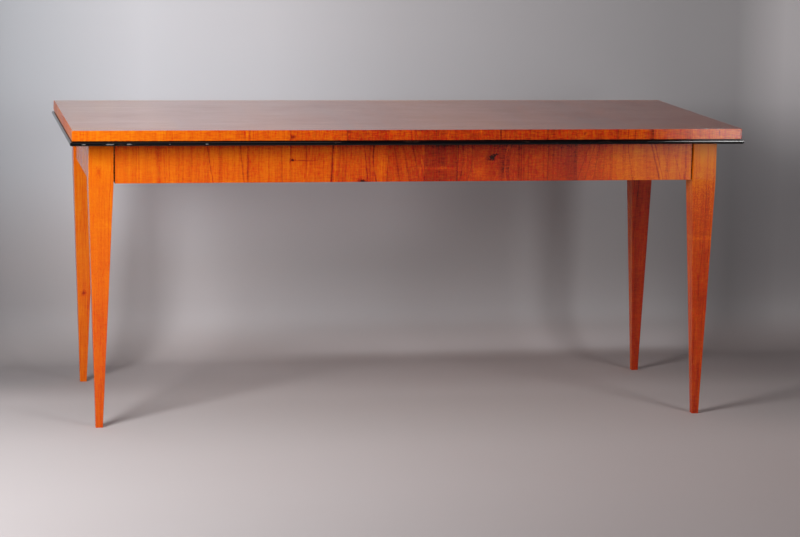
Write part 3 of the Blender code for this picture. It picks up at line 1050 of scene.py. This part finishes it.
def makeRailFacing(side):
    look = railFacing
    node = "rail_facing_" + side
    low, high = sideBox(node, side)
    piece = startBox("railVeneer_" + side, low, high)
    bpy.ops.mesh.select_all(action="SELECT")
    ease(look["arris"], look["arrisSteps"])
    layLeaves(piece, look["leaves"][side], look, 2, (low + high) / 2)
    piece.data.materials.append(railCherry)
    finishPiece(piece, sides[side], node, look["smoothAngle"])


for side in sides:
    makeRailFacing(side)
print("rail veneers are on")


# Legs: square under the top and tapered below the rails, with soft, knocked arrises

leg = {
    "arris": 0.0013,
    "arrisSteps": 3,
    "footArris": 0.0009,
    "footSteps": 2,
    "smoothAngle": 40,
    "rings": 26,
    "knock": 0.0006,      # deepest knock on an arris
    "knockSize": 0.035,
    "footBand": 0.002,    # no knocks this near the floor
    "fit": 0.0003,
    "tenon": {"face": 0.0143, "thick": 0.009, "lower": 0.004, "haunch": 0.015, "past": 0.002},
    # the right legs' deeper tones are partly their own wood and partly painted shade, for the key lamp's
    # light that falls off to the right
    "tones": {"front_left": (0.20, 0.004, 3.0), "front_right": (0.56, -0.006, 13.0),
              "back_right": (0.78, 0.003, 23.0), "back_left": (0.22, -0.004, 33.0)},
    # painted light: the right legs' left faces, turned to the key lamp, are painted more golden
    "paintedLightOnLeft": {"front_right": 0.12, "back_right": 0.32},  # how much more golden their left faces are
}


def makeLegs():
    look = leg
    low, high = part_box("leg_front_left")
    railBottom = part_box("rail_core_front")[0].z
    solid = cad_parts["leg_front_left"].data
    foot = [vert.co for vert in solid.vertices if vert.co.z < look["footBand"]]
    footLow = Vector((min(co.x for co in foot), min(co.y for co in foot), 0))
    footHigh = Vector((max(co.x for co in foot), max(co.y for co in foot), 0))
    piece = startBox("leg", (low.x, low.y, railBottom), high)
    pick(piece, "faces", lambda face: facesTo(face, 2, -1))
    pullUp(-railBottom)
    middle = Vector(((low.x + high.x) / 2, (low.y + high.y) / 2, 0))
    share = (footHigh.x - footLow.x) / (high.x - low.x)
    bpy.ops.transform.resize(value=(share, share, 1), center_override=middle)
    bpy.ops.transform.translate(value=(footLow + footHigh) / 2 - middle)
    for ring in range(1, look["rings"]):
        cut((0, 0, high.z * ring / look["rings"]), (0, 0, 1))
    pickEdges(piece, lambda at, way: runs(way, 2))
    ease(look["arris"], look["arrisSteps"])
    bpy.ops.object.vertex_group_add()
    bpy.ops.object.vertex_group_assign()
    pick(piece, "verts", lambda vert: vert.co.z < look["footBand"])
    bpy.ops.object.vertex_group_remove_from()
    pickEdges(piece, lambda at, way: near(at.z, 0))
    ease(look["footArris"], look["footSteps"])
    leaveEditing()
    clouds = bpy.data.textures.new("legKnocks", "CLOUDS")
    clouds.noise_scale = look["knockSize"]
    knocks = piece.modifiers.new("knocks", "DISPLACE")
    knocks.texture = clouds
    knocks.texture_coords = "OBJECT"
    knocks.vertex_group = piece.vertex_groups[0].name
    knocks.strength = look["knock"]
    knocks.mid_level = 1.0  # they only go in
    bpy.ops.object.modifier_apply(modifier=knocks.name)
    return piece


def cutMortises(piece):
    # the rails' tenons go into the leg, with the clearance that the solids have
    tenon = leg["tenon"]
    fit = Vector((1, 1, 1)) * leg["fit"]
    legLow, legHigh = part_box("leg_front_left")
    tools = []
    for node, way in (("rail_core_front", 0), ("rail_core_left", 1)):
        railLow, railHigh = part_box(node)
        low = Vector((legLow.x + tenon["face"], legLow.y + tenon["face"], railLow.z + tenon["lower"]))
        high = Vector((low.x + tenon["thick"], low.y + tenon["thick"], railHigh.z - tenon["haunch"]))
        low[way] = railLow[way]
        high[way] = legHigh[way] + tenon["past"]
        tools.append(startBox("mortise", low - fit, high + fit))
        leaveEditing()
    bpy.ops.object.select_all(action="DESELECT")
    for tool in tools:
        tool.select_set(True)
    bpy.ops.object.join()
    cutter = bpy.context.active_object
    bpy.context.view_layer.objects.active = piece
    cutting = piece.modifiers.new("mortises", "BOOLEAN")
    cutting.object = cutter
    cutting.solver = "EXACT"
    bpy.ops.object.modifier_apply(modifier=cutting.name)
    bpy.data.objects.remove(cutter, do_unlink=True)


legModel = makeLegs()
cutMortises(legModel)
print("a leg is shaped and mortised")


def placeLegs(model):
    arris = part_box("leg_front_left")[0]
    for corner, turns in corners.items():
        bpy.ops.object.select_all(action="DESELECT")
        piece = model.copy()
        piece.data = model.data.copy()
        scene.collection.objects.link(piece)
        piece.name = "leg_" + corner + "_polished"
        piece.data.name = piece.name
        piece.select_set(True)
        bpy.context.view_layer.objects.active = piece
        low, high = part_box("leg_" + corner)
        place = Vector((low.x if "left" in corner else high.x, low.y if "front" in corner else high.y, 0))
        turn = Matrix.Rotation(turns * math.pi / 2, 4, "Z")
        piece.matrix_world = Matrix.Translation(place) @ turn @ Matrix.Translation((-arris.x, -arris.y, 0))
        applyPlace()
        markLeaves(piece, ((-1.0, *leg["tones"][corner]),), 0.0, 0.0, 2, low)
        # painted light on the left faces of the right legs
        paler = leg["paintedLightOnLeft"].get(corner, 0.0)
        leaf = piece.data.attributes["leaf"]
        for face in piece.data.polygons:
            if facesTo(face, 0, -1):
                leaf.data[face.index].vector.x -= paler
        piece.data.materials.append(legCherry)
        finishPiece(piece, 0, "leg_" + corner, leg["smoothAngle"])
    bpy.data.objects.remove(model, do_unlink=True)


placeLegs(legModel)
print("legs stand under the top")


# The pieces inside keep their solids

softwoodStops = (
    (0.00, (0.66, 0.47, 0.27)),
    (0.35, (0.54, 0.34, 0.17)),
    (0.70, (0.36, 0.20, 0.09)),
    (0.90, (0.16, 0.08, 0.04)),
    # the darkest stop gives the painted shade in the gaps by the legs its dark maroon
    (1.00, (0.030, 0.006, 0.003)),
)
plainLook = {
    **cherryLook,
    "tone": 0.30,
    "ring": 0.0045,
    "wander": 0.03,
    "lines": 0.55,
    "bands": 0.25,
    "streaks": 0.35,
    "mottle": 0.35,
    "silk": 0.1,
    "fibre": 0.25,
    "pores": 0.0,
    "flecks": 0.0,
    "lively": (1.0, 1.0),
    "rub": 0.0,
    "stops": softwoodStops,
    "smooth": 0.55,
    "dull": 0.2,
    "scratches": 0.6,
    "fibreRelief": 0.05,
    "ringRelief": 0.06,
    "waveRelief": 0.25,
    "gloss": 0.3,
}
beechStops = (
    (0.00, (0.60, 0.38, 0.22)),
    (0.50, (0.46, 0.26, 0.135)),
    (1.00, (0.24, 0.12, 0.06)),
)
backingStops = (
    (0.00, (0.52, 0.27, 0.12)),
    (0.50, (0.38, 0.17, 0.07)),
    (1.00, (0.16, 0.06, 0.03)),
)


# Painted shade in the gaps between the facings and the legs: dark marks on the cores along x and y, where the
# gaps show them
gapShadeLook = {"height": 0.69, "reach": (0.006, 0.0045), "stain": 4.0, "x": (0.763, 0.318), "y": (0.823, 0.258)}


def gapShades(way):
    look = gapShadeLook
    x, y = look[way]
    return tuple({"at": (endX, endY, look["height"]), "reach": look["reach"], "stain": look["stain"]}
                 for endX in (-x, x) for endY in (-y, y))


gapShaded = {way: gapShades(way) for way in ("x", "y")}
softwood = {way: woodMaterial("softwood_" + way, {**plainLook, "grain": way, "marks": gapShaded.get(way, ())})
            for way in ("x", "y", "xy", "yx")}
beechLook = {**plainLook, "stops": beechStops, "ring": 0.003, "lines": 0.25, "pores": 0.3}
beech = {way: woodMaterial("beech_" + way, {**beechLook, "grain": way}) for way in ("x", "y")}
backing = woodMaterial("backingCherry", {**plainLook, "grain": "y", "stops": backingStops, "pores": 0.15})


screw = {
    "bright": (0.42, 0.40, 0.38),
    "rusty": (0.13, 0.06, 0.035),
    "rust": ((420.0, 420.0, 420.0), 4.0, 0.6),
    "rustLimits": (0.52, 0.68),
    "roughness": (0.32, 0.8),
}


def steelMaterial():
    look = screw
    material, tree, shader = newMaterial("screwSteel")
    rust = spread(noise(objectPlace(tree), *look["rust"]), *look["rustLimits"])
    feed(shader.inputs["Base Color"], mixed(rust, look["bright"], look["rusty"]))
    feed(shader.inputs["Metallic"], minus(1.0, rust))
    feed(shader.inputs["Roughness"], spread(rust, 0.0, 1.0, *look["roughness"]))
    return material


steel = steelMaterial()


def dressNode(name, material):
    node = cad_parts[name]
    node.data.materials.clear()
    node.data.materials.append(material)


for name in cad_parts:
    alongX = "front" in name or "back" in name
    if "screw" in name:
        dressNode(name, steel)
    elif name.startswith("rail_core"):
        dressNode(name, softwood["x" if alongX else "y"])
    elif name.startswith("bearer"):
        dressNode(name, softwood["y"])
    elif name.startswith("corner_brace"):
        dressNode(name, softwood["yx" if name.endswith(("front_left", "back_right")) else "xy"])
    elif name.startswith("button"):
        dressNode(name, beech["y" if alongX else "x"])
    elif name == "tabletop_core":
        dressNode(name, softwood["x"])
    elif name == "tabletop_backing_veneer":
        dressNode(name, backing)
print("inner pieces are dressed")


# Studio: pale floor that turns up into a wall behind, seen only from its front

studio = {
    "wallY": 0.66,
    "cove": 0.16,
    "coveSteps": 10,
    "smoothAngle": 40,
    "drop": 0.001,  # of the floor behind the wall, to lie under the front one
    "halfWidth": 7.0,
    "front": -9.0,
    "height": 3.2,
    "roughness": 0.75,
    "gloss": 0.2,
    "floorLeft": (0.565, 0.522, 0.526),
    "floorRight": (0.50, 0.422, 0.414),
    "floorTurn": (-1.2, 1.2),
    "clouds": ((1.3, 1.3, 1.3), 4.0, 0.6),
    "cloudStrength": 0.3,
    # the wall's tones along x are painted light: brightest left of the middle, darker towards both ends,
    # lighter again at the far right
    "wallTones": ((-1.10, 0.36), (-0.95, 0.47), (-0.60, 0.69), (-0.23, 0.66), (0.16, 0.53), (0.52, 0.455),
                  (0.77, 0.41), (1.00, 0.365), (1.20, 0.36), (1.35, 0.60)),
    "wallTints": ((1.0, 1.045, 1.12), (1.0, 0.955, 0.975)),  # left, right
    "lowTint": (1.0, 0.915, 0.875),  # the wall is warmer low down
    "lowTintLimits": (("z", 0.22, 0.62, 1.0, 0.0), ("x", -0.75, 0.0, 1.0, 0.40)),
    "wallFrom": (0.01, 0.12),  # heights between which the floor's colour turns into the wall's
    "middle": 0.10,  # "aside" is the distance from here
}
dim = (0.10, 0.10, 0.11)
grey = (0.12, 0.115, 0.12)
pale = (0.95, 0.92, 0.95)
glowWidth = (("x", -0.35, 0.05, 0.0, 0.16), ("x", 0.95, 1.15, 1.0, 0.0))

# Soft patches of painted light and shade on the paper: a colour, and the share of it along each axis as
# (axis, from, to, share there, share here)
wallLightPatches = (
    (dim, ("x", -0.60, -0.30, 0.26, 0.0), ("z", 0.12, 0.60, 1.0, 0.0)),
    (dim, ("x", -0.98, -0.75, 0.16, 0.0), ("z", 0.35, 0.85, 1.0, 0.0)),
    (dim, ("x", 0.85, 1.35, 0.0, 0.60), ("z", 0.40, 0.95, 1.0, 0.0), ("z", 0.0, 0.28, 0.62, 1.0)),
    (pale, *glowWidth, ("z", 0.05, 0.30, 1.0, 0.0)),
    ((0.95, 0.93, 0.98), ("x", -0.85, -0.50, 0.0, 0.34), ("x", 0.10, 0.45, 1.0, 0.0),
     ("z", 0.24, 0.44, 0.0, 1.0), ("z", 0.50, 0.64, 1.0, 0.0)),  # weakens the shadow of the top
)
floorLightPatches = (
    ((0.95, 0.90, 0.90), ("y", -1.3, -0.1, 0.0, 0.22), ("y", 0.0, 0.3, 1.0, 0.0)),  # under the table
    (grey, ("aside", 0.40, 1.20, 0.05, 0.46), ("y", 0.0, 0.40, 0.0, 1.0)),  # by the wall, most at its ends
    (grey, ("x", 0.6, 1.3, 0.0, 0.30), ("y", -0.7, -0.2, 0.0, 1.0), ("y", 0.1, 0.4, 1.0, 0.0)),
    (grey, ("y", -1.7, -0.9, 0.16, 0.0)),
    (grey, ("x", -0.95, -0.50, 0.12, 0.0), ("y", -0.5, -0.1, 0.0, 1.0)),
)
# painted light at the foot of the wall, where the floor throws light up
footLightPatches = ((pale, *glowWidth, ("z", 0.002, 0.020, 0.0, 1.0), ("z", 0.02, 0.08, 1.7, 0.0)),)


def shareOf(axes, limits):
    return times(*[spread(axes[axis], *limit) for axis, *limit in limits])


def patched(axes, colour, patches):
    for tint, *limits in patches:
        colour = mixed(shareOf(axes, limits), colour, tint)
    return colour


def studioMaterial():
    look = studio
    material, tree, shader = newMaterial("studioPaper")
    place = objectPlace(tree)
    x, y, z = separate(place)
    axes = {"x": x, "y": y, "z": z, "aside": maths("ABSOLUTE", minus(x, look["middle"]))}
    clouds = minus(noise(place, *look["clouds"]), 0.5)
    turn = plus(spread(x, *look["floorTurn"]), times(clouds, look["cloudStrength"]))
    floor = patched(axes, mixed(turn, look["floorLeft"], look["floorRight"]), floorLightPatches)
    first, last = look["wallTones"][0][0], look["wallTones"][-1][0]
    left, right = [Vector(tint) for tint in look["wallTints"]]
    stops = []
    for at, tone in look["wallTones"]:
        along = (at - first) / (last - first)
        stops.append((along, tuple(tone * left.lerp(right, along))))
    wall = ramp(spread(x, first, last, smooth=False), stops)
    warm = vectorMaths("MULTIPLY", wall, look["lowTint"])
    wall = mixed(shareOf(axes, look["lowTintLimits"]), wall, warm)
    wall = patched(axes, wall, wallLightPatches)
    colour = mixed(spread(z, *look["wallFrom"]), floor, wall)
    feed(shader.inputs["Base Color"], patched(axes, colour, footLightPatches))
    shader.inputs["Roughness"].default_value = look["roughness"]
    shader.inputs["Specular IOR Level"].default_value = look["gloss"]
    clear = tree.nodes.new("ShaderNodeBsdfTransparent").outputs[0]
    behind = tree.nodes.new("ShaderNodeNewGeometry").outputs["Backfacing"]
    choice = newNode("MixShader", behind, shader.outputs[0], clear)
    feed(tree.nodes["Material Output"].inputs["Surface"], choice.outputs[0])
    return material


def startPlane(name, y, z, width, depth):
    bpy.ops.object.select_all(action="DESELECT")
    bpy.ops.mesh.primitive_plane_add(size=1, location=(0, y, z))
    piece = bpy.context.active_object
    piece.name = name
    applyPlace()
    bpy.ops.object.mode_set(mode="EDIT")
    bpy.ops.transform.resize(value=(width, depth, 1), center_override=(0, y, 0))
    return piece


def makeStudio():
    look = studio
    wallY, front = look["wallY"], look["front"]
    piece = startPlane("studio", (front + wallY) / 2, 0, 2 * look["halfWidth"], wallY - front)
    pickEdges(piece, lambda at, way: near(at.y, wallY))
    pullUp(look["height"])
    pickEdges(piece, lambda at, way: near(at.y, wallY) and near(at.z, 0))
    ease(look["cove"], look["coveSteps"])
    leaveEditing()
    bpy.ops.object.shade_smooth_by_angle(angle=math.radians(look["smoothAngle"]))
    piece.data.materials.append(studioPaper)


def makeBackFloor():  # goes on behind the wall, for views from there
    look = studio
    start = look["wallY"] - look["cove"]
    end = -look["front"]
    piece = startPlane("backFloor", (start + end) / 2, -look["drop"], 2 * look["halfWidth"], end - start)
    leaveEditing()
    piece.data.materials.append(studioPaper)


studioPaper = studioMaterial()
makeStudio()
makeBackFloor()

lamps = {
    "key": {"at": (-1.93, -1.88, 1.50), "aim": (0.1, 0.0, 0.55), "size": (0.85, 1.15), "power": 57.0},
    "fill": {"at": (2.635, -4.3, 1.695), "aim": (0.735, 0.0, 1.235), "size": (1.3, 3.1), "power": 61.0},
    "strip": {"at": (1.55, -1.75, 2.25), "aim": (0.80, -0.39, 0.745), "size": (0.24, 0.9), "power": 66.0,
              "glossOnly": True},
    "above": {"at": (-0.6, -0.5, 2.5), "aim": (-0.6, -0.45, 0.0), "size": (1.4, 1.4), "power": 10.5},
}


def makeLamp(name, look):
    light = bpy.data.lights.new(name, "AREA")
    light.shape = "RECTANGLE"
    light.size, light.size_y = look["size"]
    light.energy = look["power"]
    lamp = bpy.data.objects.new(name, light)
    scene.collection.objects.link(lamp)
    lamp.location = look["at"]
    lamp.rotation_euler = (Vector(look["aim"]) - Vector(look["at"])).to_track_quat("-Z", "Y").to_euler()
    lamp.visible_camera = False
    if look.get("glossOnly"):  # a narrow highlight on the bead and the arris, no light on the studio
        lamp.visible_diffuse = False


for lampName, lampLook in lamps.items():
    makeLamp(lampName, lampLook)

air = {"Color": (0.86, 0.86, 0.9, 1.0), "Strength": 0.05}
world = bpy.data.worlds.new("studioAir")
world.use_nodes = True
for setting, value in air.items():
    world.node_tree.nodes["Background"].inputs[setting].default_value = value
scene.world = world
scene.view_settings.view_transform = "Standard"
print("studio is lit")


# Camera where the photograph was taken

cameraLook = {
    "at": (-1.2946, -6.8982, 1.4897),
    "yaw": -0.1914,
    "pitch": 0.1599,
    "roll": 0.0178,
    "lens": 117.07,
    "sensor": 36,
}


def makeCamera():
    look = cameraLook
    yaw, pitch, roll = look["yaw"], look["pitch"], look["roll"]
    right = Vector((math.cos(yaw), math.sin(yaw), 0))
    ahead = Vector((-math.sin(yaw) * math.cos(pitch), math.cos(yaw) * math.cos(pitch), -math.sin(pitch)))
    up = right.cross(ahead)
    across = math.cos(roll) * right + math.sin(roll) * up
    upright = -math.sin(roll) * right + math.cos(roll) * up
    turn = Matrix((across, upright, -ahead)).transposed().to_4x4()
    data = bpy.data.cameras.new("camera")
    data.lens = look["lens"]
    data.sensor_width = look["sensor"]
    camera = bpy.data.objects.new("camera", data)
    scene.collection.objects.link(camera)
    camera.matrix_world = Matrix.Translation(look["at"]) @ turn
    scene.camera = camera


makeCamera()
